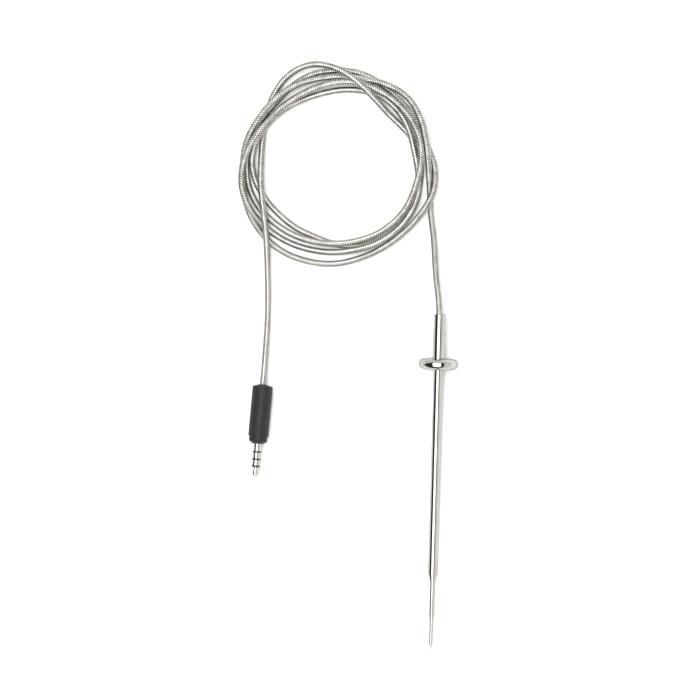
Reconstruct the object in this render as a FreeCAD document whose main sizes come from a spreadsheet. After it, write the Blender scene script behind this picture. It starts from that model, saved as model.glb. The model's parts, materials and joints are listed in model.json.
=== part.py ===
"""A wired meat thermometer probe, built as a parametric FreeCAD document.

A stepped stainless needle with a pull ring and a handle sleeve, a braided cord that lies in a loose
coil, and a 3.5 mm four-pole plug.  Units are millimetres.  +Z is up and the table is at z = 0.  The
needle points along -Y and rests on its ring and its point.  The origin is under the middle of the
probe.  Every round piece is drawn about its own axis, which runs along +Y from the point of the
needle, or from the tip of the plug.
"""
import FreeCAD, Part
import math
import os
import Sketcher

Vector = FreeCAD.Vector
Placement = FreeCAD.Placement
Rotation = FreeCAD.Rotation

SIZES = {
    # The needle's outside, from its point backwards.
    "nose_radius": 0.22,
    "point_length": 2.8,
    "fine_radius": 0.8,
    "fine_length": 9.7,
    "fine_shoulder": 2.0,
    "middle_radius": 1.1,
    "middle_length": 14.2,
    "shaft_shoulder": 3.9,
    "shaft_radius": 2.0,
    "probe_length": 144.4,
    "fine_wall": 0.3,
    "shaft_wall": 0.3,
    "spigot_length": 1.2,
    # The pull ring and the handle sleeve behind it.
    "ring_at": 123.0,
    "ring_radius": 8.5,
    "ring_thickness": 4.5,
    "ring_seat_depth": 2.0,
    "seat_radius": 1.75,
    "sleeve_radius": 2.5,
    "edge_break": 0.15,
    "ferrule_length": 6.5,
    "ferrule_recess": 0.3,
    # What the needle holds.
    "bead_radius": 0.38,
    "bead_at": 5.0,
    "lead_radius": 0.07,
    "lead_spacing": 0.36,
    "insulator_radius": 0.42,
    "insulator_start": 6.6,
    "insulator_length": 21.4,
    "wire_radius": 0.4,
    "core_radius": 0.16,
    "wire_spacing": 1.24,
    "crimp_radius": 0.38,
    "crimp_bore": 0.22,
    "crimp_start": 37.0,
    "crimp_length": 6.0,
    "cover_wall": 0.12,
    "cover_overlap": 0.8,
    "liner_wall": 0.35,
    "liner_start": 34.0,
    "seal_length": 4.0,
    # The cord and its coil.
    "cord_radius": 1.35,
    "coil_height": 7.0,
    "coil_rounding": 1.2,
    # The plug, from its tip backwards.
    "jack_radius": 1.75,
    "jack_length": 14.3,
    "tip_nose": 0.25,
    "tip_nose_radius": 1.11,
    "tip_front_radius": 0.7,
    "tip_bulb_radius": 1.4,
    "tip_bulb_at": 0.95,
    "tip_neck_radius": 1.05,
    "tip_neck_start": 3.75,
    "tip_length": 4.25,
    "insulator_width": 0.75,
    "front_ring_width": 2.25,
    "rear_ring_width": 2.45,
    "pin_radius": 0.45,
    "layer": 0.17,
    "neck_radius": 1.55,
    "tail_step": 0.8,
    "collar_radius": 3.9,
    "collar_nose_radius": 2.1,
    "collar_nose": 1.1,
    "collar_length": 2.2,
    "collar_spigot": 1.2,
    "flange_radius": 2.6,
    "flange_thickness": 1.0,
    "barrel_radius": 4.35,
    "barrel_length": 21.4,
    "barrel_wall": 1.1,
    "barrel_end_wall": 1.8,
    "barrel_cone": 0.86,
    "mould_wall": 0.7,
    "mould_front_wall": 1.0,
    "mould_rear_wall": 2.3,
    "clamp_wall": 0.6,
    "clamp_length": 1.3,
    "clamp_angle": 300.0,
    "lug_thickness": 0.3,
    "lug_width": 1.2,
    "lug_rim": 0.45,
    "tip_tab_length": 3.4,
    "ground_tab_length": 7.6,
    "solder_radius": 0.6,
    "wire_straight": 1.2,
    "wire_on_tab": 1.6,
    "wire_lead_in": 0.8,
    # Clearances.
    "press_gap": 0.01,
    "slip_gap": 0.05,
}

# Where the plug lies: the tip of its jack, and how far its axis turns from +Y towards +X.
PLUG_TIP = (-77.5, 0.0)
PLUG_HEADING = 3.6

# The middle of the coil, and how far its outer and inner edges lie from there, clockwise from +Y.
COIL_CENTRE = (-46.1, 135.4)
COIL_OUTSIDE = (42.7, 41.6, 41.8, 42.3, 41.4, 40.8, 43.6, 44.3, 43.2, 42.8, 42.8, 43.5,
                44.1, 44.5, 44.6, 44.1, 43.4, 42.6, 41.3, 40.0, 39.2, 40.8, 43.6, 44.5)
COIL_INSIDE = (30.2, 31.4, 31.2, 30.6, 31.7, 33.1, 34.0, 34.4, 34.6, 34.1, 33.7, 33.1,
               32.5, 31.6, 31.2, 31.8, 32.4, 31.8, 31.0, 31.5, 32.4, 30.7, 29.4, 29.3)

# The cord's two free stretches, as points (x, y, z).  Each begins inside the probe or the plug and
# runs straight out along its axis for LEAD_STRAIGHT, then over these points into the coil.
PROBE_LEAD = ((-1.0, 92.0, 8.2), (-2.6, 103.0, 4.0), (-4.0, 113.0, 1.5), (-5.4, 122.8, 1.35))
PLUG_LEAD = ((-74.0, 59.6, 2.6), (-73.6, 70.5, 1.35), (-73.9, 81.0, 1.7), (-74.5, 92.5, 4.0),
             (-75.3, 104.0, 4.3))
LEAD_STRAIGHT = 6.5
ROUNDING_SHARE = 0.45

# The jack's nested layers: the tip's pin, three insulators and two ring contacts.
JACK_LAYERS = 6


class Size:
    """A length with the spreadsheet expression that it comes from."""

    def __init__(self, value, text):
        self.value = value
        self.text = text

    def combine(self, sign, other, value):
        return Size(value, "({} {} {})".format(self.text, sign, as_size(other).text))

    def __add__(self, other):
        return self.combine("+", other, self.value + as_size(other).value)

    def __sub__(self, other):
        return self.combine("-", other, self.value - as_size(other).value)

    def __mul__(self, other):
        return self.combine("*", other, self.value * as_size(other).value)

    def __truediv__(self, other):
        return self.combine("/", other, self.value / as_size(other).value)


def as_size(number):
    """Let a plain number stand among sizes."""
    return number if isinstance(number, Size) else Size(float(number), str(number))


class Sheet:
    """The driving dimensions: a spreadsheet of plain numbers, read by alias."""

    def __init__(self, document):
        self.cells = document.addObject("Spreadsheet::Sheet", "sizes")
        for row, (alias, number) in enumerate(SIZES.items(), start=1):
            self.cells.set("A%d" % row, alias.replace("_", " "))
            self.cells.set("B%d" % row, str(number))
            self.cells.setAlias("B%d" % row, alias)
        document.recompute()

    def __getattr__(self, alias):
        return Size(float(self.cells.get(alias)), "sizes." + alias)


doc = FreeCAD.newDocument("meat_probe")
z = Sheet(doc)
NODES = {}


def keep(label, item, where):
    """Name a sub-part, put it in its place and list it for export."""
    item.Label = label
    item.Placement = where
    NODES[label] = item
    return item


# ---------------------------------------------------------------------------------------- shapes

def bind(item, prop, size):
    """Tie a property to its spreadsheet expression."""
    item.setExpression(prop, as_size(size).text)


def constrain(sketch, kind, axis, side, corner, size):
    """Fix one coordinate of a corner, on an axis of the sketch or at a bound distance from it."""
    if as_size(size).value == 0:
        sketch.addConstraint(Sketcher.Constraint("PointOnObject", side, corner, axis))
        return
    number = sketch.addConstraint(Sketcher.Constraint(kind, -1, 1, side, corner, size.value))
    bind(sketch, "Constraints[%d]" % number, size)


def arc_side(start, end, radius):
    """An arc of the given radius that bulges to the right of the way from start to end."""
    chord = end - start
    apothem = math.sqrt(max(radius ** 2 - (chord.Length / 2) ** 2, 0.0))
    inward = Vector(-chord.y, chord.x, 0).normalize()
    centre = (start + end) / 2 + inward * apothem
    angles = [math.atan2(p.y - centre.y, p.x - centre.x) for p in (start, end)]
    if angles[1] < angles[0]:
        angles[1] += 2 * math.pi
    return Part.ArcOfCircle(Part.Circle(centre, Vector(0, 0, 1), radius), *angles)


def revolved(label, where, corners, rounded=None, angle=360):
    """A body turned about its own Y axis from corners (radius, along), listed anticlockwise.

    rounded gives the radius of each side that is an arc, by the number of the corner it starts at.
    """
    rounded = rounded or {}
    body = doc.addObject("PartDesign::Body", label)
    plane = next(f for f in body.Origin.OriginFeatures if f.Role == "XY_Plane")
    sketch = body.newObject("Sketcher::SketchObject", label + "_outline")
    sketch.AttachmentSupport = [(plane, "")]
    sketch.MapMode = "FlatFace"
    points = [Vector(as_size(r).value, as_size(a).value, 0) for r, a in corners]
    for side, start in enumerate(points):
        end = points[(side + 1) % len(points)]
        if side in rounded:
            sketch.addGeometry(arc_side(start, end, rounded[side].value))
        else:
            sketch.addGeometry(Part.LineSegment(start, end))
    for side, (radius, along) in enumerate(corners):
        before = (side - 1) % len(corners)
        sketch.addConstraint(Sketcher.Constraint("Coincident", before, 2, side, 1))
        constrain(sketch, "DistanceX", -2, side, 1, radius)
        constrain(sketch, "DistanceY", -1, side, 1, along)
        if side in rounded:
            number = sketch.addConstraint(Sketcher.Constraint("Radius", side, rounded[side].value))
            bind(sketch, "Constraints[%d]" % number, rounded[side])
    turn = body.newObject("PartDesign::Revolution", label + "_turn")
    turn.Profile = sketch
    turn.ReferenceAxis = (sketch, ["V_Axis"])
    bind(turn, "Angle", angle)
    sketch.Visibility = False
    return keep(label, body, where)


def tube(label, where, inner, outer, start, end):
    """A plain tube about the Y axis."""
    return revolved(label, where, ((inner, start), (outer, start), (outer, end), (inner, end)))


def rod(radius, start, end, aside=0.0):
    """A loose cylinder along +Y, to one side of the axis, for use in a boolean."""
    cylinder = doc.addObject("Part::Cylinder", "rod")
    bind(cylinder, "Radius", radius)
    bind(cylinder, "Height", end - start)
    cylinder.Placement = Placement(Vector(aside, start.value, 0), Rotation(Vector(1, 0, 0), -90))
    return cylinder


def ball(radius, along, aside=0.0):
    """A loose sphere on the axis, or to one side of it."""
    sphere = doc.addObject("Part::Sphere", "ball")
    bind(sphere, "Radius", radius)
    sphere.Placement.Base = Vector(aside, along, 0)
    return sphere


def block(width, depth, length, corner):
    """A loose box with its lowest corner at the given place."""
    box = doc.addObject("Part::Box", "block")
    bind(box, "Length", width)
    bind(box, "Width", length)
    bind(box, "Height", depth)
    box.Placement.Base = Vector(*corner)
    return box


def cut(base, *tools):
    """The base without the tools, one after another."""
    for tool in tools:
        result = doc.addObject("Part::Cut", "cut")
        result.Base = base
        result.Tool = tool
        base = result
    return base


def fuse(first, second):
    """Two loose solids as one."""
    result = doc.addObject("Part::Fuse", "fuse")
    result.Base = first
    result.Tool = second
    return result


def group(*members):
    """Separate solids of one sub-part, such as a pair of wires."""
    result = doc.addObject("Part::Compound", "group")
    result.Links = list(members)
    return result


def rounded_path(points):
    """Straight runs joined by tangent arcs, each arc as large as its two runs allow."""
    edges = []
    radii = []
    here = points[0]
    for before, corner, after in zip(points, points[1:], points[2:]):
        into = (corner - before).normalize()
        out = (after - corner).normalize()
        half_turn = into.getAngle(out) / 2
        run = min((corner - before).Length, (after - corner).Length)
        trim = ROUNDING_SHARE * run
        radii.append(trim / math.tan(half_turn))
        start = corner - into * trim
        end = corner + out * trim
        inward = (out - into).normalize()
        middle = corner + inward * (radii[-1] / math.cos(half_turn) - radii[-1])
        edges.append(Part.LineSegment(here, start).toShape())
        edges.append(Part.Arc(start, middle, end).toShape())
        here = end
    edges.append(Part.LineSegment(here, points[-1]).toShape())
    return Part.Wire(edges), radii


def pipe(name, points, radius):
    """A tube along a rounded path, its volume compared with its section times its length."""
    points = [Vector(*p) for p in points]
    wire, radii = rounded_path(points)
    circle = Part.Circle(points[0], points[1] - points[0], radius)
    solid = wire.makePipeShell([Part.Wire([circle.toShape()])], True, False)
    expected = math.pi * radius ** 2 * wire.Length
    print("%s: length %.1f, tightest bend %.1f, volume share %.4f"
          % (name, wire.Length, min(radii), solid.Volume / expected))
    if abs(solid.Volume / expected - 1) > 0.01:
        raise RuntimeError(name + ": the tube does not fill its path")
    item = doc.addObject("Part::Feature", name)
    item.Shape = solid
    return item


# --------------------------------------------------------------------------------- where things go

rim_radius = z.ring_thickness / 2
rim_centre = z.ring_radius - rim_radius
fine_end = z.point_length + z.fine_length
middle_start = fine_end + z.fine_shoulder
middle_end = middle_start + z.middle_length
shaft_start = middle_end + z.shaft_shoulder
ring_front = z.ring_at - rim_radius
ring_back = z.ring_at + rim_radius
shoulder = ring_front - z.press_gap
sleeve_start = ring_back - z.ring_seat_depth
sleeve_bore = z.seat_radius + z.press_gap
tube_end = z.probe_length - z.ferrule_recess - z.ferrule_length - z.press_gap
fine_bore = z.fine_radius - z.fine_wall
middle_bore = z.middle_radius - z.shaft_wall
shaft_bore = z.shaft_radius - z.shaft_wall
seat_bore = z.seat_radius - z.shaft_wall
bore_step = shoulder - z.shaft_wall
cord_hole = z.cord_radius + z.slip_gap


def probe_placement():
    """Lay the probe down on the rim of its ring and the base of its point."""
    reach = z.ring_at.value - z.point_length.value
    rise = rim_centre.value - z.fine_radius.value
    lean = math.atan2(rise, reach) + math.asin(rim_radius.value / math.hypot(reach, rise))
    height = z.fine_radius.value * math.cos(lean) - z.point_length.value * math.sin(lean)
    span = z.probe_length.value * math.cos(lean) + z.sleeve_radius.value * math.sin(lean)
    turn = Rotation(Vector(1, 0, 0), math.degrees(lean))
    print("the probe leans %.2f degrees" % math.degrees(lean))
    return Placement(Vector(0, -span / 2, height), turn)


def plug_placement():
    """Lay the plug down on its barrel."""
    turn = Rotation(Vector(0, 0, 1), -PLUG_HEADING)
    return Placement(Vector(*PLUG_TIP, z.barrel_radius.value), turn)


ON_PROBE = probe_placement()
ON_PLUG = plug_placement()
ON_TABLE = Placement()


# ----------------------------------------------------------------------------------------- needle

def probe_tube():
    """The swaged tube, whose rear end is narrower and gives the pull ring a shoulder to sit on."""
    revolved("probe_tube", ON_PROBE, (
        (fine_bore, z.point_length), (z.fine_radius, z.point_length),
        (z.fine_radius, fine_end), (z.middle_radius, middle_start),
        (z.middle_radius, middle_end), (z.shaft_radius, shaft_start),
        (z.shaft_radius, shoulder), (z.seat_radius, shoulder),
        (z.seat_radius, tube_end), (seat_bore, tube_end),
        (seat_bore, bore_step), (shaft_bore, bore_step),
        (shaft_bore, shaft_start), (middle_bore, middle_end),
        (middle_bore, middle_start), (fine_bore, fine_end)))


def needle_tip():
    spigot = fine_bore - z.press_gap
    spigot_end = z.point_length + z.spigot_length
    revolved("needle_tip", ON_PROBE, (
        (0, 0), (z.nose_radius, z.nose_radius), (z.fine_radius, z.point_length),
        (spigot, z.point_length), (spigot, spigot_end), (0, spigot_end)),
        rounded={0: z.nose_radius})


def pull_ring():
    bore = z.seat_radius + z.press_gap
    seat = z.sleeve_radius + z.press_gap
    revolved("pull_ring", ON_PROBE, (
        (bore, ring_front), (rim_centre, ring_front), (z.ring_radius, z.ring_at),
        (rim_centre, ring_back), (seat, ring_back), (seat, sleeve_start), (bore, sleeve_start)),
        rounded={1: rim_radius, 2: rim_radius})


def handle_sleeve():
    start = sleeve_start + z.press_gap
    revolved("handle_sleeve", ON_PROBE, (
        (sleeve_bore, start), (z.sleeve_radius, start),
        (z.sleeve_radius, z.probe_length - z.edge_break),
        (z.sleeve_radius - z.edge_break, z.probe_length), (sleeve_bore, z.probe_length)))


def cord_ferrule():
    outer = sleeve_bore - z.press_gap
    start = tube_end + z.press_gap
    tube("cord_ferrule", ON_PROBE, cord_hole, outer, start, start + z.ferrule_length)


def rear_seal():
    start = tube_end - z.seal_length
    side = z.wire_spacing.value / 2
    plug = rod(seat_bore - z.press_gap, start, tube_end)
    holes = [rod(z.wire_radius + z.press_gap, start, tube_end, s) for s in (-side, side)]
    keep("rear_seal", cut(plug, *holes), ON_PROBE)


def shaft_liner():
    outer = shaft_bore - z.slip_gap
    end = bore_step - z.slip_gap
    tube("shaft_liner", ON_PROBE, outer - z.liner_wall, outer, z.liner_start, end)


# ---------------------------------------------------------------------------------- inside the tip

def bare_leads():
    """The bead's two leads, which spread from the insulator's bores to the crimps."""
    near = z.lead_spacing.value / 2
    far = z.wire_spacing.value / 2
    bend = (z.insulator_start + z.insulator_length + z.crimp_start).value / 2
    end = (z.crimp_start + z.crimp_length / 2).value - z.slip_gap.value
    leads = []
    for side in (-1, 1):
        route = ((side * near, z.bead_at.value, 0), (side * near, bend, 0),
                 (side * far, z.crimp_start.value - z.slip_gap.value, 0), (side * far, end, 0))
        leads.append(pipe("thermistor_lead", route, z.lead_radius.value))
    return leads


def sensor():
    """The glass bead on its two leads, and the cement that holds it in the fine bore."""
    leads = bare_leads()
    bead = ball(z.bead_radius, z.bead_at.value)
    start = z.point_length + z.spigot_length + z.press_gap
    filling = rod(fine_bore - z.press_gap, start, z.insulator_start - z.press_gap)
    keep("thermistor_bead", cut(bead, *leads), ON_PROBE)
    keep("tip_potting", cut(filling, bead, *leads), ON_PROBE)
    keep("thermistor_leads", group(*leads), ON_PROBE)


def lead_insulator():
    end = z.insulator_start + z.insulator_length
    side = z.lead_spacing.value / 2
    core = rod(z.insulator_radius, z.insulator_start, end)
    bores = [rod(z.lead_radius + z.press_gap, z.insulator_start, end, s) for s in (-side, side)]
    keep("lead_insulator", cut(core, *bores), ON_PROBE)


def splices():
    """The two crimps that join leads to wires, and the insulating cover on each."""
    side = z.wire_spacing.value / 2
    crimp_end = z.crimp_start + z.crimp_length
    cover_bore = z.crimp_radius + z.press_gap
    cover_start = z.crimp_start - z.cover_overlap
    crimps = []
    covers = []
    for aside in (-side, side):
        outside = rod(z.crimp_radius, z.crimp_start, crimp_end, aside)
        crimps.append(cut(outside, rod(z.crimp_bore, z.crimp_start, crimp_end, aside)))
        outside = rod(cover_bore + z.cover_wall, cover_start, crimp_end, aside)
        covers.append(cut(outside, rod(cover_bore, cover_start, crimp_end, aside)))
    keep("splice_crimps", group(*crimps), ON_PROBE)
    keep("splice_covers", group(*covers), ON_PROBE)


def signal_wires():
    """Two insulated wires from the crimps to the cord's end, stripped where a crimp holds them."""
    side = z.wire_spacing.value / 2
    bare_start = z.crimp_start + z.crimp_length / 2 + z.slip_gap
    start = z.crimp_start + z.crimp_length + z.slip_gap
    wires = []
    for aside in (-side, side):
        core = rod(z.core_radius, bare_start, start, aside)
        wires.append(fuse(core, rod(z.wire_radius, start, tube_end, aside)))
    keep("signal_wires", group(*wires), ON_PROBE)


# ------------------------------------------------------------------------------------------- plug

collar_start = z.jack_length + z.collar_nose
barrel_start = collar_start + z.collar_length
flange_start = barrel_start + z.collar_spigot + z.press_gap
flange_end = flange_start + z.flange_thickness
barrel_end = barrel_start + z.barrel_length
barrel_back = barrel_end + z.barrel_cone
barrel_cavity = z.barrel_radius - z.barrel_wall
mould_start = flange_end + z.press_gap
mould_end = barrel_back - z.barrel_end_wall - z.barrel_cone
chamber_start = mould_start + z.mould_front_wall
chamber_end = mould_end - z.mould_rear_wall
chamber_radius = barrel_cavity - z.press_gap - z.mould_wall
sleeve_tail = chamber_start + z.tail_step
cord_end = chamber_end - z.clamp_length - z.slip_gap


def plug_barrel():
    revolved("plug_barrel", ON_PLUG, (
        (barrel_cavity, barrel_start), (z.barrel_radius - z.edge_break, barrel_start),
        (z.barrel_radius, barrel_start + z.edge_break), (z.barrel_radius, barrel_end),
        (cord_hole, barrel_back), (cord_hole, mould_end + z.press_gap),
        (barrel_cavity, mould_end + z.press_gap)))


def plug_collar():
    bore = z.neck_radius + z.press_gap
    spigot = barrel_cavity - z.press_gap
    front = z.jack_length + z.press_gap
    face = barrel_start - z.press_gap
    revolved("plug_collar", ON_PLUG, (
        (bore, front), (z.collar_nose_radius, front),
        (z.collar_radius, collar_start), (z.collar_radius, face), (spigot, face),
        (spigot, barrel_start + z.collar_spigot), (bore, barrel_start + z.collar_spigot)))


def inner_mould():
    bore = z.neck_radius + z.press_gap
    outer = barrel_cavity - z.press_gap
    revolved("inner_mould", ON_PLUG, (
        (bore, mould_start), (outer, mould_start), (outer, mould_end), (cord_hole, mould_end),
        (cord_hole, chamber_end), (chamber_radius, chamber_end),
        (chamber_radius, chamber_start), (bore, chamber_start)))


def tail_of(layer):
    """How far back a nested layer of the jack reaches: each one further than the one around it."""
    return sleeve_tail + z.tail_step * (JACK_LAYERS - layer)


def tip_contact():
    revolved("tip_contact", ON_PLUG, (
        (0, 0), (z.tip_front_radius, z.tip_nose), (z.tip_bulb_radius, z.tip_bulb_at),
        (z.tip_neck_radius, z.tip_neck_start),
        (z.tip_neck_radius, z.tip_length), (z.pin_radius, z.tip_length),
        (z.pin_radius, tail_of(0)), (0, tail_of(0))),
        rounded={0: z.tip_nose_radius})


def jack_layers():
    """Three insulators and the two ring contacts between them, each a collar with a long tail."""
    layers = (("front_insulator", z.insulator_width), ("front_ring_contact", z.front_ring_width),
              ("middle_insulator", z.insulator_width), ("rear_ring_contact", z.rear_ring_width),
              ("rear_insulator", z.insulator_width))
    front = z.tip_length
    inner = z.pin_radius
    for number, (label, width) in enumerate(layers, start=1):
        outer = inner + z.layer
        back = front + width
        start = front + z.press_gap
        revolved(label, ON_PLUG, (
            (inner + z.press_gap, start), (z.jack_radius, start), (z.jack_radius, back),
            (outer, back), (outer, tail_of(number)), (inner + z.press_gap, tail_of(number))))
        front = back
        inner = outer
    return front, inner


def sleeve_contact(front, inner):
    """The jack's last contact, with a neck in the collar and a flange that holds it there."""
    bore = inner + z.press_gap
    start = front + z.press_gap
    revolved("sleeve_contact", ON_PLUG, (
        (bore, start), (z.jack_radius, start), (z.jack_radius, z.jack_length),
        (z.neck_radius, z.jack_length), (z.neck_radius, flange_start),
        (z.flange_radius, flange_start), (z.flange_radius, flange_end),
        (z.neck_radius, flange_end), (z.neck_radius, sleeve_tail), (bore, sleeve_tail)))


def lug(label, inner, start, tab_length, side):
    """A solder lug: an eyelet round a contact's tail, with a tab that runs back to the wire.

    Returns how far from the axis a wire lies on the tab's face, where the tab ends, and the tab.
    """
    end = start + z.lug_thickness
    outer = inner + z.lug_rim
    low = outer.value - z.lug_thickness.value if side > 0 else -outer.value
    corner = (low, start.value, -z.lug_width.value / 2)
    tab = block(z.lug_thickness, z.lug_width, tab_length, corner)
    hole = rod(inner + z.press_gap, start, end)
    keep(label, cut(fuse(rod(outer, start, end), tab), hole), ON_PLUG)
    face = low + z.lug_thickness.value
    return face + z.wire_radius.value, start.value + tab_length.value, tab


def plug_connections():
    """Solder lugs on the tip's pin and the sleeve, the cord's two wires and the solder between."""
    tip_seat = lug("tip_lug", z.pin_radius, tail_of(1) + z.press_gap, z.tip_tab_length, 1)
    ground_start = chamber_start + z.slip_gap
    ground_seat = lug("ground_lug", z.neck_radius, ground_start, z.ground_tab_length, -1)
    leave = cord_end.value - z.wire_straight.value
    wires = []
    solder = []
    for side, (aside, reach, tab) in ((1, tip_seat), (-1, ground_seat)):
        start = side * z.wire_spacing.value / 2
        end = reach - z.wire_on_tab.value
        land = reach + z.wire_lead_in.value
        route = ((start, cord_end.value, 0), (start, leave, 0), (aside, land, 0), (aside, end, 0))
        wires.append(pipe("plug_wire", route, z.wire_radius.value))
        solder.append(cut(ball(z.solder_radius, end, aside), wires[-1], tab))
    keep("solder_joints", group(*solder), ON_PLUG)
    keep("plug_wires", group(*wires), ON_PLUG)


def cord_clamp():
    """An open crimp band round the end of the cord, inside the mould."""
    inner = z.cord_radius + z.press_gap
    outer = inner + z.clamp_wall
    start = cord_end + z.press_gap
    end = start + z.clamp_length
    revolved("cord_clamp", ON_PLUG, ((inner, start), (outer, start), (outer, end), (inner, end)),
             angle=z.clamp_angle)


# ------------------------------------------------------------------------------------------- cord

def closed_curve(radii):
    """A smooth closed curve round the coil's centre through one radius per station."""
    step = 2 * math.pi / len(radii)
    points = []
    for station, radius in enumerate(radii):
        angle = station * step
        east = COIL_CENTRE[0] + radius * math.sin(angle)
        north = COIL_CENTRE[1] + radius * math.cos(angle)
        points.append(Vector(east, north, 0))
    curve = Part.BSplineCurve()
    curve.interpolate(points, PeriodicFlag=True)
    return Part.Wire([curve.toShape()])


def cord_coil():
    """The outer shape of the loose coil: a flat ring with rounded edges."""
    outer = Part.Face(closed_curve(COIL_OUTSIDE))
    inner = Part.Face(closed_curve(COIL_INSIDE))
    ring = outer.cut(inner).extrude(Vector(0, 0, z.coil_height.value))
    level = [e for e in ring.Edges if e.BoundBox.ZLength < 1e-3]
    item = doc.addObject("Part::Feature", "cord_coil")
    item.Shape = ring.makeFillet(z.coil_rounding.value, level)
    return keep("cord_coil", item, ON_TABLE)


def cord_lead(label, where, start, back, points, coil):
    """A free stretch of the cord: straight out of its socket, then over its points to the coil."""
    route = [where.multVec(Vector(0, start.value, 0))]
    route.append(where.multVec(Vector(0, back.value + LEAD_STRAIGHT, 0)))
    route += points
    keep(label, cut(pipe(label + "_tube", route, z.cord_radius.value), coil), ON_TABLE)


def cord():
    coil = cord_coil()
    probe_start = tube_end + z.press_gap
    cord_lead("cord_probe_lead", ON_PROBE, probe_start, z.probe_length, PROBE_LEAD, coil)
    cord_lead("cord_plug_lead", ON_PLUG, cord_end, barrel_back, PLUG_LEAD, coil)


# ------------------------------------------------------------------------------------------ export

def build_all():
    """Every sub-part, from the point of the needle to the tip of the plug."""
    probe_tube()
    needle_tip()
    pull_ring()
    handle_sleeve()
    cord_ferrule()
    rear_seal()
    shaft_liner()
    sensor()
    lead_insulator()
    splices()
    signal_wires()
    plug_barrel()
    plug_collar()
    inner_mould()
    tip_contact()
    sleeve_contact(*jack_layers())
    plug_connections()
    cord_clamp()
    cord()


def check_all():
    """Stop at any object that failed to build, or any sub-part that is not sound."""
    for item in doc.Objects:
        if "Invalid" in item.State or "Error" in item.State:
            raise RuntimeError("failed to build: " + item.Name)
    for label, item in NODES.items():
        shape = item.Shape
        if shape.isNull() or not shape.isValid() or not shape.Solids:
            raise RuntimeError("not a sound solid: " + label)


build_all()
doc.recompute()
check_all()
os.makedirs("parts", exist_ok=True)
for label, item in NODES.items():
    item.Shape.exportStep("parts/" + label + ".step")
print(len(NODES), "sub-parts written")
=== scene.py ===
"""The looks of a wired meat thermometer probe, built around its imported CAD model.

Everything is in metres, in the part's own frame: the table is at z = 0, the needle points along -Y,
and the coil of braided cord lies to its left.  The cord's braid is the only piece modelled here; the
other pieces are the CAD's own, with a material each.
"""
import json
import math
import bpy
import numpy as np
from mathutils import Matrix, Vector


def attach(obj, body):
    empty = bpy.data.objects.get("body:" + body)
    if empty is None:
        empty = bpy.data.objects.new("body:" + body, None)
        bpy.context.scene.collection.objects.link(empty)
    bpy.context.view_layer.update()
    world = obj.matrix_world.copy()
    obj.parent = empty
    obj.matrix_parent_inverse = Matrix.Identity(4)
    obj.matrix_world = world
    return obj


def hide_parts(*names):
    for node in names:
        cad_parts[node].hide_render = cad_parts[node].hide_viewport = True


MM = 0.001
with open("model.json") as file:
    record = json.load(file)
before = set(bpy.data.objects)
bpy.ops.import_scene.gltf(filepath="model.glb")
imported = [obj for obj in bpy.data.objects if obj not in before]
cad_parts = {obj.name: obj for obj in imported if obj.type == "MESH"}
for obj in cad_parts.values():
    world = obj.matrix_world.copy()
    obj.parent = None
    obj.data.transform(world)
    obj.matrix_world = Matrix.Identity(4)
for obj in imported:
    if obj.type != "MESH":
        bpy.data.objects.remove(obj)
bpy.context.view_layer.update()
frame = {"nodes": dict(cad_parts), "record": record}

# ------------------------------------------------------------------------------- the cord's route

# Sizes and places of the route are in millimetres.
CORD_RADIUS = 1.4

# The straight start of each free stretch, inside its socket and 6.5 mm out of it, then its points.
PROBE_LEAD = ((0.0, 65.19, 9.42), (0.0, 74.8, 10.04),
              (-2.2, 89.0, 9.0), (-3.0, 103.0, 4.0), (-4.6, 113.0, 1.5), (-5.4, 122.8, 1.4))
PLUG_LEAD = ((-75.39, 33.48, 4.35), (-74.59, 46.27, 4.35),
             (-74.0, 59.6, 2.6), (-73.6, 70.5, 1.35), (-73.9, 81.0, 1.7), (-74.5, 92.5, 4.0),
             (-75.3, 104.0, 4.3))

# The coil, from the plug's lead to the probe's: how far the cord lies from the coil's middle, at
# each of 24 places of a turn, clockwise as seen from above.
COIL_CENTRE = (-46.1, 135.4)
COIL_STEP = 15.0
COIL_START = 240.0
COIL_RADII = (
    35.6, 33.2, 32.0, 32.7, 35.5, 39.8, 43.5, 44.3, 40.7, 35.6, 32.0, 30.7,
    32.4, 35.8, 36.6, 37.0, 37.5, 37.8, 37.1, 36.4, 34.4, 32.4, 32.4, 32.5,
    33.6, 35.3, 36.4, 35.7, 33.9, 32.3, 30.9, 30.6, 31.6, 33.0, 34.7, 35.1,
    34.7, 33.7, 34.6, 37.3, 38.4, 38.6, 38.5, 37.7, 38.0, 38.4, 39.5, 40.6,
    42.0, 42.0, 39.8, 36.9, 34.5, 33.5, 33.1, 33.8, 35.1, 36.2, 36.3, 36.9,
    37.4, 37.3, 36.2, 35.2, 35.6, 35.2, 34.8, 34.2, 34.3, 34.7, 35.7, 36.7,
    38.2, 38.8, 38.3, 38.0, 37.2, 36.8, 38.4, 40.0, 40.1, 40.4, 39.1, 38.7,
    39.0, 39.3, 42.6, 43.7, 42.1, 41.3, 41.2, 41.8, 43.1, 43.6, 44.3, 43.9,
    42.9, 41.0, 40.1, 39.5, 38.3, 38.0, 38.0, 37.3, 37.4, 37.9, 40.2, 42.1,
    41.2, 39.5, 39.4)

# Which stretch lies on top where two cross: the one of the higher rank, as (degrees, rank).
COIL_RANKS = ((240, 9), (255, 9), (285, 0), (320, 0), (345, 9), (398, 9), (412, 0), (562, 0),
              (582, 4), (942, 4), (966, 6), (1283, 6), (1303, 2), (1664, 2), (1692, 5),
              (1888, 5), (1898, 0))

# How the cord settles: its stiffness against its weight, and how hard two stretches press apart.
STIFFNESS = 0.6
WEIGHT = 0.02
CONTACT = 60.0
SETTLING_ROUNDS = 80
SAMPLES_PER_RUN = 8
NEVER_TOUCH = 12.0


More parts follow.
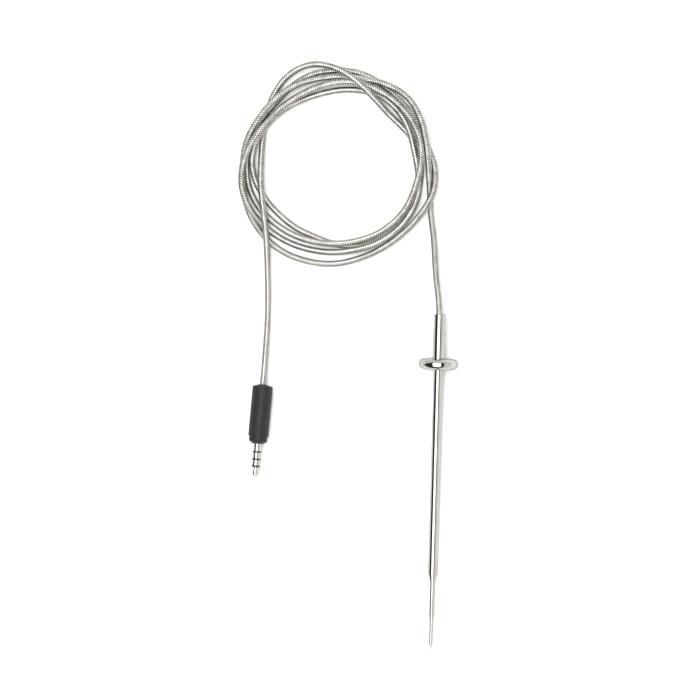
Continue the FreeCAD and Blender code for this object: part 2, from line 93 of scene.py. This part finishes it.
def coil_points():
    """The coil's points (x, y) and ranks.  Its spline cuts inside them, so they stand out by that."""
    half = math.radians(COIL_STEP)
    standing_out = 1 / (0.75 + 0.25 * math.cos(half))
    points = []
    ranks = []
    for place, radius in enumerate(COIL_RADII):
        degrees = COIL_START + place * COIL_STEP
        reach = radius * standing_out
        points.append((COIL_CENTRE[0] + reach * math.sin(math.radians(degrees)),
                       COIL_CENTRE[1] + reach * math.cos(math.radians(degrees))))
        ranks.append(float(np.interp(degrees, *zip(*COIL_RANKS))))
    return points, ranks


def spline_weights(count):
    """What each control point gives to each sample along a quadratic spline."""
    places = np.arange(0.5, count - 1.5, 1 / SAMPLES_PER_RUN)
    weights = np.zeros((len(places), count))
    nearest = np.floor(places + 0.5).astype(int)
    share = places - (nearest - 0.5)
    rows = np.arange(len(places))
    weights[rows, nearest - 1] = (1 - share) ** 2 / 2
    weights[rows, nearest] = 0.5 + share * (1 - share)
    weights[rows, nearest + 1] = share ** 2 / 2
    return weights


def settled_heights(plan, ranks, heights, free):
    """The heights at which the cord lies on the table and on itself, with its route seen from above.

    Stretches that cross are kept a diameter apart, the higher rank above.  Each round solves for the
    heights at which weight, stiffness and the touching places balance.
    """
    weights = spline_weights(len(heights))
    plan = weights @ plan
    ranks = weights @ ranks
    along = np.concatenate([[0], np.cumsum(np.linalg.norm(np.diff(plan, axis=0), axis=1))])
    apart = np.linalg.norm(plan[:, None] - plan[None], axis=2)
    crossing = (apart < 2 * CORD_RADIUS) & (np.abs(along[:, None] - along[None]) > NEVER_TOUCH)
    over, under = np.nonzero(crossing & (ranks[:, None] > ranks[None]))
    need = np.sqrt(4 * CORD_RADIUS ** 2 - apart[over, under] ** 2)
    bend = np.diff(np.eye(len(heights)), 2, axis=0)
    stiffness = STIFFNESS * bend.T @ bend
    load = WEIGHT * weights.sum(0)
    fixed = ~free
    for _ in range(SETTLING_ROUNDS):
        level = weights @ heights
        touching = level[over] - level[under] < need
        resting = level < CORD_RADIUS
        pairs = weights[over[touching]] - weights[under[touching]]
        floor = weights[resting]
        matrix = stiffness + CONTACT * (pairs.T @ pairs + floor.T @ floor)
        force = CONTACT * (pairs.T @ need[touching] + floor.sum(0) * CORD_RADIUS) - load
        force -= matrix[:, fixed] @ heights[fixed]
        solved = np.linalg.solve(matrix[np.ix_(free, free)] + 1e-6 * np.eye(free.sum()), force[free])
        heights[free] += 0.5 * (solved - heights[free])
    return heights


def route_points():
    """The cord's control points, from the probe's end to the plug's, in metres."""
    coil, ranks = coil_points()
    plan = [p[:2] for p in PLUG_LEAD] + coil + [p[:2] for p in reversed(PROBE_LEAD)]
    ranks = [9.0] * len(PLUG_LEAD) + ranks + [0.0] * len(PROBE_LEAD)
    heights = [p[2] for p in PLUG_LEAD] + [3 * CORD_RADIUS] * len(coil)
    heights += [p[2] for p in reversed(PROBE_LEAD)]
    free = np.zeros(len(plan), bool)
    free[len(PLUG_LEAD):len(PLUG_LEAD) + len(coil)] = True
    heights = settled_heights(np.array(plan), np.array(ranks), np.array(heights), free)
    points = [(x * MM, y * MM, height * MM) for (x, y), height in zip(plan, heights)]
    return points[::-1]


def route_curve(points):
    """One smooth open spline with the route's points as its control points."""
    curve = bpy.data.curves.new("cord_route", "CURVE")
    curve.dimensions = "3D"
    spline = curve.splines.new("NURBS")
    spline.points.add(len(points) - 1)
    for point, place in zip(spline.points, points):
        point.co = (*place, 1.0)
    spline.order_u = 3
    spline.use_endpoint_u = True
    spline.resolution_u = 24
    return bpy.data.objects.new("cord_route", curve)


def centreline():
    """The points along the middle of the cord, as Blender works them out from the spline."""
    route = route_curve(route_points())
    mesh = bpy.data.meshes.new_from_object(route)
    line = np.array([v.co for v in mesh.vertices])
    bpy.data.meshes.remove(mesh)
    bpy.data.curves.remove(route.data)
    return line


# ------------------------------------------------------------------------------------- the braid

# Ribbons each way round, and how far along the cord each goes in one turn.
CARRIERS = 4
LAY = 4.2 * MM

# A ribbon passes over two others and under two, and then again.
CROSSINGS_IN_A_WAVE = 4

# A ribbon's width and its middle's distance from the cord's axis, how far it rises over the others, how
# far its edges lie below its middle, and how many wires lie side by side in it.
RIBBON_WIDTH = 0.70 * MM
RIBBON_RADIUS = 1.36 * MM
RIBBON_RISE = 0.09 * MM
RIBBON_CROWN = 0.22 * MM
RIBBON_STEP = 0.225 * MM
WIRES = 6

# The plain core under the ribbons.
CORE_RADIUS = 1.11 * MM
CORE_SIDES = 8
CORE_STEP = 2.0 * MM


class Track:
    """A line measured by its length, with two directions square to it that never twist."""

    def __init__(self, line):
        steps = np.linalg.norm(np.diff(line, axis=0), axis=1)
        keep = np.concatenate([[True], steps > 1e-7])
        self.line = line[keep]
        steps = np.linalg.norm(np.diff(self.line, axis=0), axis=1)
        self.along = np.concatenate([[0], np.cumsum(steps)])
        self.length = self.along[-1]
        ahead = np.gradient(self.line, axis=0)
        ahead /= np.linalg.norm(ahead, axis=1)[:, None]
        side = np.cross(ahead[0], (0, 0, 1))
        sides = []
        for way in ahead:
            side = side - way * (side @ way)
            side /= np.linalg.norm(side)
            sides.append(side)
        self.side = np.array(sides)
        self.up = np.cross(ahead, self.side)

    def read(self, values, at):
        """The values at these lengths along the line."""
        return np.stack([np.interp(at, self.along, values[:, k]) for k in range(3)], axis=-1)

    def place(self, at, angle, radius):
        """Points at these lengths along the line, turned round it and out from it."""
        across = np.cos(angle)[..., None] * self.read(self.side, at)
        across += np.sin(angle)[..., None] * self.read(self.up, at)
        return self.read(self.line, at) + radius[..., None] * across


def grid_faces(rows, columns, first):
    """Quads between the points of a grid, whose first point has this number."""
    corner = first + np.arange(rows - 1)[:, None] * columns + np.arange(columns - 1)[None]
    quads = np.stack([corner, corner + 1, corner + columns + 1, corner + columns], axis=-1)
    return quads.reshape(-1, 4)


def ribbon(track, carrier, sense):
    """One carrier of the braid: a slightly crowned ribbon that passes over two and under two."""
    at = np.linspace(0, track.length, round(track.length / RIBBON_STEP) + 1)
    turn = sense * 2 * math.pi * at / LAY + 2 * math.pi * carrier / CARRIERS
    crossings = 2 * CARRIERS * at / LAY
    place = 2 * carrier + sense * crossings
    wave = sense * np.cos(2 * math.pi * (place - 0.5) / CROSSINGS_IN_A_WAVE)
    steepness = math.atan2(2 * math.pi * RIBBON_RADIUS, LAY)
    points = []
    for across in (-0.5, 0.0, 0.5):
        aside = across * RIBBON_WIDTH
        there = np.clip(at - sense * aside * math.sin(steepness), 0, track.length)
        angle = turn + aside * math.cos(steepness) / RIBBON_RADIUS
        radius = RIBBON_RADIUS + RIBBON_RISE * wave - abs(across) * 2 * RIBBON_CROWN
        points.append(track.place(there, angle, radius))
    return np.stack(points, axis=1), at


def braid(track):
    """The braided sleeve: four ribbons each way over a plain core, as one mesh."""
    points = []
    faces = []
    maps = []
    slots = []
    count = 0
    for sense in (1, -1):
        for carrier in range(CARRIERS):
            grid, at = ribbon(track, carrier, sense)
            quads = grid_faces(len(at), 3, count)
            if sense < 0:
                quads = quads[:, ::-1]
            uv = np.stack(np.broadcast_arrays(np.array([0.0, 0.5, 1.0])[None],
                                              at[:, None] / RIBBON_WIDTH), axis=-1)
            points.append(grid.reshape(-1, 3))
            maps.append(uv.reshape(-1, 2))
            faces.append(quads)
            slots += [0] * len(quads)
            count += grid.shape[0] * 3
    at = np.linspace(0, track.length, round(track.length / CORE_STEP) + 1)
    angle = np.linspace(0, 2 * math.pi, CORE_SIDES + 1)
    at_grid, angle_grid = np.meshgrid(at, angle, indexing="ij")
    core = track.place(at_grid, angle_grid, np.full(at_grid.shape, CORE_RADIUS))
    points.append(core.reshape(-1, 3))
    maps.append(np.stack([angle_grid, at_grid / RIBBON_WIDTH], axis=-1).reshape(-1, 2))
    quads = grid_faces(len(at), CORE_SIDES + 1, count)
    faces.append(quads)
    slots += [1] * len(quads)
    return np.concatenate(points), np.concatenate(faces), np.concatenate(maps), slots


def mesh_piece(name, points, faces, maps, slots, materials):
    """A smooth mesh in the scene, with a map for its weave and a material slot for each face."""
    mesh = bpy.data.meshes.new(name)
    mesh.from_pydata(points.tolist(), [], faces.tolist())
    mesh.polygons.foreach_set("use_smooth", [True] * len(mesh.polygons))
    mesh.polygons.foreach_set("material_index", slots)
    layer = mesh.uv_layers.new(name="weave")
    corners = np.zeros(len(mesh.loops), np.int32)
    mesh.loops.foreach_get("vertex_index", corners)
    layer.data.foreach_set("uv", maps[corners].ravel())
    for material in materials:
        mesh.materials.append(material)
    mesh.validate()
    mesh.update()
    piece = bpy.data.objects.new(name, mesh)
    bpy.context.scene.collection.objects.link(piece)
    return piece


# ------------------------------------------------------------------------------------- materials

# The plug's axis: where it crosses y = 0, and how far it's turned from the Y axis.
PLUG_X = -77.5 * MM
PLUG_TURN = math.radians(3.6)


class Nodes:
    """A material's node tree, with short ways to add and join nodes."""

    def __init__(self, name):
        self.material = bpy.data.materials.new(name)
        self.material.use_nodes = True
        self.tree = self.material.node_tree
        self.tree.nodes.clear()
        self.shader = self.add("ShaderNodeBsdfPrincipled")
        out = self.add("ShaderNodeOutputMaterial")
        self.join(self.shader.outputs["BSDF"], out.inputs["Surface"])

    def add(self, kind, **settings):
        """A new node, with values for its inputs or its own settings."""
        node = self.tree.nodes.new(kind)
        for key, value in settings.items():
            if key in node.inputs:
                node.inputs[key].default_value = value
            else:
                setattr(node, key, value)
        return node

    def join(self, source, target):
        self.tree.links.new(source, target)

    def sockets(self, **values):
        """Uniform values for the shader's own inputs."""
        for key, value in values.items():
            self.shader.inputs[key.replace("_", " ")].default_value = value

    def noise(self, scale, detail=3.0, vector=None):
        """Cloudy noise in the part's own frame, or along another vector."""
        node = self.add("ShaderNodeTexNoise", Scale=scale, Detail=detail)
        if vector is None:
            vector = self.add("ShaderNodeTexCoord").outputs["Object"]
        self.join(vector, node.inputs["Vector"])
        return node.outputs["Fac"]

    def ramp(self, source, stops):
        """Colours that follow a value, as (value, colour)."""
        node = self.add("ShaderNodeValToRGB")
        band = node.color_ramp
        while len(band.elements) < len(stops):
            band.elements.new(1.0)
        for element, (place, colour) in zip(band.elements, stops):
            element.position = place
            element.color = (*colour, 1.0)
        self.join(source, node.inputs["Fac"])
        return node.outputs["Color"]

    def spread(self, source, low, high, start=0.0, end=1.0):
        """A value that runs from low to high while the source runs from start to end."""
        node = self.add("ShaderNodeMapRange")
        for key, value in (("From Min", start), ("From Max", end), ("To Min", low), ("To Max", high)):
            node.inputs[key].default_value = value
        self.join(source, node.inputs["Value"])
        return node.outputs["Result"]

    def math(self, operation, first, second=None):
        """Arithmetic on node outputs and numbers."""
        node = self.add("ShaderNodeMath", operation=operation)
        for socket, value in zip(node.inputs, (first, second)):
            if isinstance(value, (int, float)):
                socket.default_value = value
            elif value is not None:
                self.join(value, socket)
        return node.outputs["Value"]

    def bump(self, height, strength, distance):
        """Relief on the surface."""
        node = self.add("ShaderNodeBump", Strength=strength, Distance=distance)
        self.join(height, node.inputs["Height"])
        self.join(node.outputs["Normal"], self.shader.inputs["Normal"])


def braid_wires():
    """Bright stainless wires side by side in each ribbon of the braid, with painted shade that darkens
    each ribbon to near black towards its edges, where it dips under its neighbours.
    """
    n = Nodes("braid_wires")
    n.sockets(Metallic=1.0, Specular_Tint=(0.15, 0.145, 0.14, 1.0))
    uv = n.add("ShaderNodeUVMap", uv_map="weave").outputs["UV"]
    split = n.add("ShaderNodeSeparateXYZ")
    n.join(uv, split.inputs["Vector"])
    wires = n.math("ABSOLUTE", n.math("SINE", n.math("MULTIPLY", split.outputs["X"], WIRES * math.pi)))
    n.bump(wires, 0.15, 0.04 * MM)
    # Painted shade: the colour runs from bright to near black towards each ribbon's edges, where the
    # ribbons pass under one another, and noise shifts where it starts; the same value sets the
    # roughness.
    aside = n.math("ABSOLUTE", n.math("SUBTRACT", split.outputs["X"], 0.5))
    patches = n.spread(n.noise(420.0, 3.0), -0.08, 0.08, 0.3, 0.7)
    painted_edge_shade = n.math("MULTIPLY", n.math("ADD", aside, patches), 2.0)
    n.join(n.ramp(painted_edge_shade, ((0.34, (0.90, 0.88, 0.84)), (0.56, (0.015, 0.014, 0.012)))),
           n.shader.inputs["Base Color"])
    n.join(n.spread(painted_edge_shade, 0.34, 0.5, 0.3, 1.0), n.shader.inputs["Roughness"])
    return n.material


def braid_core():
    """What shows between the ribbons: the core, coloured near black as painted shade for the depths of
    the weave.
    """
    n = Nodes("braid_core")
    n.sockets(Roughness=0.6)
    # Painted shade: the core's near-black colour stands for the shade deep in the weave between the
    # ribbons.
    n.join(n.ramp(n.noise(1500.0), ((0.3, (0.05, 0.045, 0.04)), (0.7, (0.12, 0.11, 0.1)))),
           n.shader.inputs["Base Color"])
    return n.material


def polished_steel():
    """Mirror-polished stainless with the faint marks that polishing and use leave."""
    n = Nodes("polished_steel")
    n.sockets(Metallic=1.0, Specular_Tint=(0.45, 0.44, 0.43, 1.0))
    place = n.add("ShaderNodeMapping")
    place.inputs["Scale"].default_value = (1.0, 0.05, 1.0)
    n.join(n.add("ShaderNodeTexCoord").outputs["Object"], place.inputs["Vector"])
    marks = n.noise(6000.0, 4.0, place.outputs["Vector"])
    n.bump(marks, 0.04, 0.01 * MM)
    clouds = n.noise(120.0, 2.0)
    n.join(n.spread(clouds, 0.05, 0.10, 0.3, 0.7), n.shader.inputs["Roughness"])
    n.join(n.ramp(clouds, ((0.3, (0.50, 0.49, 0.475)), (0.7, (0.55, 0.54, 0.525)))),
           n.shader.inputs["Base Color"])
    return n.material


def plain_metal(name, dark, light, roughness, scale=2000.0):
    """A small metal fitting with fine working marks."""
    n = Nodes(name)
    n.sockets(Metallic=1.0)
    grain = n.noise(scale, 4.0)
    n.bump(grain, 0.08, 0.02 * MM)
    n.join(n.ramp(grain, ((0.3, dark), (0.7, light))), n.shader.inputs["Base Color"])
    n.join(n.spread(grain, roughness * 0.8, roughness * 1.25, 0.3, 0.7),
           n.shader.inputs["Roughness"])
    return n.material


def black_moulding():
    """Matte black plastic, spark-eroded, with the mould's parting line along its top, raised and with a
    painted highlight along it.
    """
    n = Nodes("black_moulding")
    place = n.add("ShaderNodeTexCoord").outputs["Object"]
    split = n.add("ShaderNodeSeparateXYZ")
    n.join(place, split.inputs["Vector"])
    aside = n.math("MULTIPLY", n.math("SUBTRACT", split.outputs["X"], PLUG_X), math.cos(PLUG_TURN))
    aside = n.math("SUBTRACT", aside, n.math("MULTIPLY", split.outputs["Y"], math.sin(PLUG_TURN)))
    # The parting line: a raised ridge in the bump, and a painted highlight that lightens the colour
    # along the plug's top.
    seam_ridge_and_highlight = n.spread(n.math("ABSOLUTE", aside), 0.30, 0.0, 0.06 * MM, 0.22 * MM)
    grain = n.math("ADD", n.noise(1700.0, 5.0), seam_ridge_and_highlight)
    n.bump(grain, 0.6, 0.12 * MM)
    n.join(n.ramp(grain, ((0.40, (0.002, 0.002, 0.002)), (0.88, (0.022, 0.021, 0.022)))),
           n.shader.inputs["Base Color"])
    n.join(n.spread(grain, 0.66, 0.5, 0.3, 0.8), n.shader.inputs["Roughness"])
    return n.material


def plain_plastic(name, dark, light, roughness, scale=1500.0):
    """A moulded or extruded plastic with a slight grain."""
    n = Nodes(name)
    grain = n.noise(scale, 3.0)
    n.bump(grain, 0.1, 0.02 * MM)
    n.join(n.ramp(grain, ((0.3, dark), (0.7, light))), n.shader.inputs["Base Color"])
    n.join(n.spread(grain, roughness * 0.85, roughness * 1.15, 0.3, 0.7),
           n.shader.inputs["Roughness"])
    return n.material


def dress_cad():
    """Give every CAD node its material, by the record's material slot."""
    made = {
        "polished_steel": polished_steel(),
        "crimp_metal": plain_metal("crimp_metal", (0.5, 0.49, 0.46), (0.68, 0.67, 0.64), 0.3),
        "plated_contact": plain_metal("plated_contact", (0.52, 0.51, 0.49), (0.60, 0.59, 0.57), 0.16),
        "contact_insulator": plain_plastic("contact_insulator", (0.008, 0.008, 0.008),
                                           (0.02, 0.02, 0.02), 0.3),
        "black_moulding": black_moulding(),
        "inner_moulding": plain_plastic("inner_moulding", (0.7, 0.7, 0.68), (0.8, 0.8, 0.78), 0.5),
        "solder": plain_metal("solder", (0.5, 0.5, 0.5), (0.68, 0.68, 0.68), 0.25),
        "silicone_seal": plain_plastic("silicone_seal", (0.42, 0.06, 0.04), (0.55, 0.1, 0.07), 0.6),
        "liner_plastic": plain_plastic("liner_plastic", (0.78, 0.77, 0.72), (0.86, 0.85, 0.8), 0.4),
        "wire_insulation": plain_plastic("wire_insulation", (0.72, 0.72, 0.7), (0.82, 0.82, 0.8), 0.3),
        "bead_glass": plain_plastic("bead_glass", (0.3, 0.12, 0.05), (0.45, 0.2, 0.1), 0.1),
        "ceramic_cement": plain_plastic("ceramic_cement", (0.7, 0.66, 0.58), (0.85, 0.82, 0.75), 0.9),
    }
    for entry in frame["record"]["subparts"]:
        material = made.get(entry["material_slot"])
        node = frame["nodes"][entry["node"]]
        if material is None:
            continue
        node.data.materials.clear()
        node.data.materials.append(material)


# ----------------------------------------------------------------------------------------- stage

# The camera's place over the table, and the width of table that it sees.
CAMERA_AT = (-38.02 * MM, 55.56 * MM)
CAMERA_HEIGHT = 3.0
CAMERA_ROLL = math.radians(1.507)
VIEW_WIDTH = 301.0 * MM
SENSOR_WIDTH = 36.0
TABLE_REACH = 1.6

# The brightness of the softbox overhead, the wall to the right, the dark rest of the room, the wall
# behind, and what the camera sees past the table.
SOFTBOX = 3.2
WALL = 1.12
DARK = 0.045
BEHIND = 0.95
BACKDROP = 0.9

# The key: its strength, how wide it looks, and where it shines from.
KEY_STRENGTH = 1.7
KEY_WIDTH = math.radians(18)
KEY_FROM = (-0.13, 0.04, 1.0)


def camera():
    """Straight above the table, turned a little, and far enough away to see nearly square on."""
    data = bpy.data.cameras.new("camera")
    data.sensor_width = SENSOR_WIDTH
    data.lens = data.sensor_width * CAMERA_HEIGHT / VIEW_WIDTH
    data.clip_end = 20.0
    item = bpy.data.objects.new("camera", data)
    item.location = (*CAMERA_AT, CAMERA_HEIGHT)
    item.rotation_euler = (0, 0, CAMERA_ROLL)
    bpy.context.scene.collection.objects.link(item)
    bpy.context.scene.camera = item


def floor():
    """A plain pale table, which the light makes white."""
    n = Nodes("white_table")
    n.sockets(Roughness=0.9)
    n.shader.inputs["Specular IOR Level"].default_value = 0.2
    grain = n.noise(300.0, 2.0)
    n.join(n.ramp(grain, ((0.3, (0.79, 0.79, 0.79)), (0.7, (0.81, 0.81, 0.81)))),
           n.shader.inputs["Base Color"])
    mesh = bpy.data.meshes.new("table")
    corners = [(x * TABLE_REACH, y * TABLE_REACH, 0) for x, y in ((-1, -1), (1, -1), (1, 1), (-1, 1))]
    mesh.from_pydata(corners, [], [(0, 1, 2, 3)])
    mesh.materials.append(n.material)
    item = bpy.data.objects.new("table", mesh)
    bpy.context.scene.collection.objects.link(item)


def ramp_of(tree, source, stops):
    """Grey levels that follow an angle, as (degrees from straight up, level)."""
    node = tree.nodes.new("ShaderNodeValToRGB")
    band = node.color_ramp
    while len(band.elements) < len(stops):
        band.elements.new(1.0)
    for element, (degrees, level) in zip(band.elements, stops):
        element.position = (degrees + 180) / 360
        element.color = (level, level, level, 1.0)
    tree.links.new(source, node.inputs["Fac"])
    return node.outputs["Color"]


def studio():
    """A white softbox overhead, dark round it, with pale walls to its right and behind."""
    world = bpy.data.worlds.new("studio")
    bpy.context.scene.world = world
    world.use_nodes = True
    tree = world.node_tree
    tree.nodes.clear()
    way = tree.nodes.new("ShaderNodeTexCoord").outputs["Generated"]
    split = tree.nodes.new("ShaderNodeSeparateXYZ")
    tree.links.new(way, split.inputs["Vector"])

    def calc(operation, first, second):
        """Arithmetic on node outputs and numbers."""
        node = tree.nodes.new("ShaderNodeMath")
        node.operation = operation
        for socket, value in zip(node.inputs, (first, second)):
            if isinstance(value, (int, float)):
                socket.default_value = value
            else:
                tree.links.new(value, socket)
        return node.outputs["Value"]

    def mix(share, first, second):
        """The first colour where the share is 0 and the second where it is 1."""
        node = tree.nodes.new("ShaderNodeMix")
        node.data_type = "RGBA"
        tree.links.new(share, node.inputs["Factor"])
        for socket, value in ((node.inputs[6], first), (node.inputs[7], second)):
            if isinstance(value, tuple):
                socket.default_value = (*value, 1.0)
            else:
                tree.links.new(value, socket)
        return node.outputs[2]

    def turned(direction):
        """How far the direction leans from straight up, from 0 for -180 degrees to 1 for 180."""
        angle = calc("ARCTAN2", split.outputs[direction], split.outputs["Z"])
        return calc("DIVIDE", calc("ADD", angle, math.pi), 2 * math.pi)

    sideways = turned("X")
    lengthways = turned("Y")
    box_across = ramp_of(tree, sideways, ((-37, 0), (-30, 1), (13, 1), (17, 0)))
    box_along = ramp_of(tree, lengthways, ((-52, 0), (-46, 1), (38, 1), (43, 0)))
    to_right = ramp_of(tree, sideways, ((31, 0), (38, 0.78), (75, 1), (100, 1), (110, 0)))
    behind = ramp_of(tree, lengthways, ((46, 0), (54, 1), (110, 1), (125, 0)))
    room = mix(to_right, (DARK, DARK, DARK), (WALL * 1.02, WALL, WALL * 0.95))
    room = mix(behind, room, (BEHIND, BEHIND, BEHIND * 0.98))
    inside = calc("MULTIPLY", box_across, box_along)
    room = mix(inside, room, (SOFTBOX, SOFTBOX, SOFTBOX * 0.99))
    seen = tree.nodes.new("ShaderNodeLightPath").outputs["Is Camera Ray"]
    room = mix(seen, room, (BACKDROP, BACKDROP, BACKDROP))
    background = tree.nodes.new("ShaderNodeBackground")
    tree.links.new(room, background.inputs["Color"])
    out = tree.nodes.new("ShaderNodeOutputWorld")
    tree.links.new(background.outputs["Background"], out.inputs["Surface"])


def key_light():
    """A key nearly overhead, a little to the left, for the floor and the narrow shadows on it."""
    data = bpy.data.lights.new("key", "SUN")
    data.energy = KEY_STRENGTH
    data.angle = KEY_WIDTH
    item = bpy.data.objects.new("key", data)
    item.rotation_euler = Vector(KEY_FROM).to_track_quat("Z", "Y").to_euler()
    item.visible_glossy = False
    bpy.context.scene.collection.objects.link(item)


# ------------------------------------------------------------------------------------------ main

bpy.context.scene.view_settings.view_transform = "Standard"
camera()
floor()
studio()
key_light()
dress_cad()

line = centreline()
track = Track(line)
points, faces, maps, slots = braid(track)
cord = mesh_piece("braided_cord", points, faces, maps, slots, [braid_wires(), braid_core()])
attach(cord, "root")
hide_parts("cord_probe_lead", "cord_coil", "cord_plug_lead")
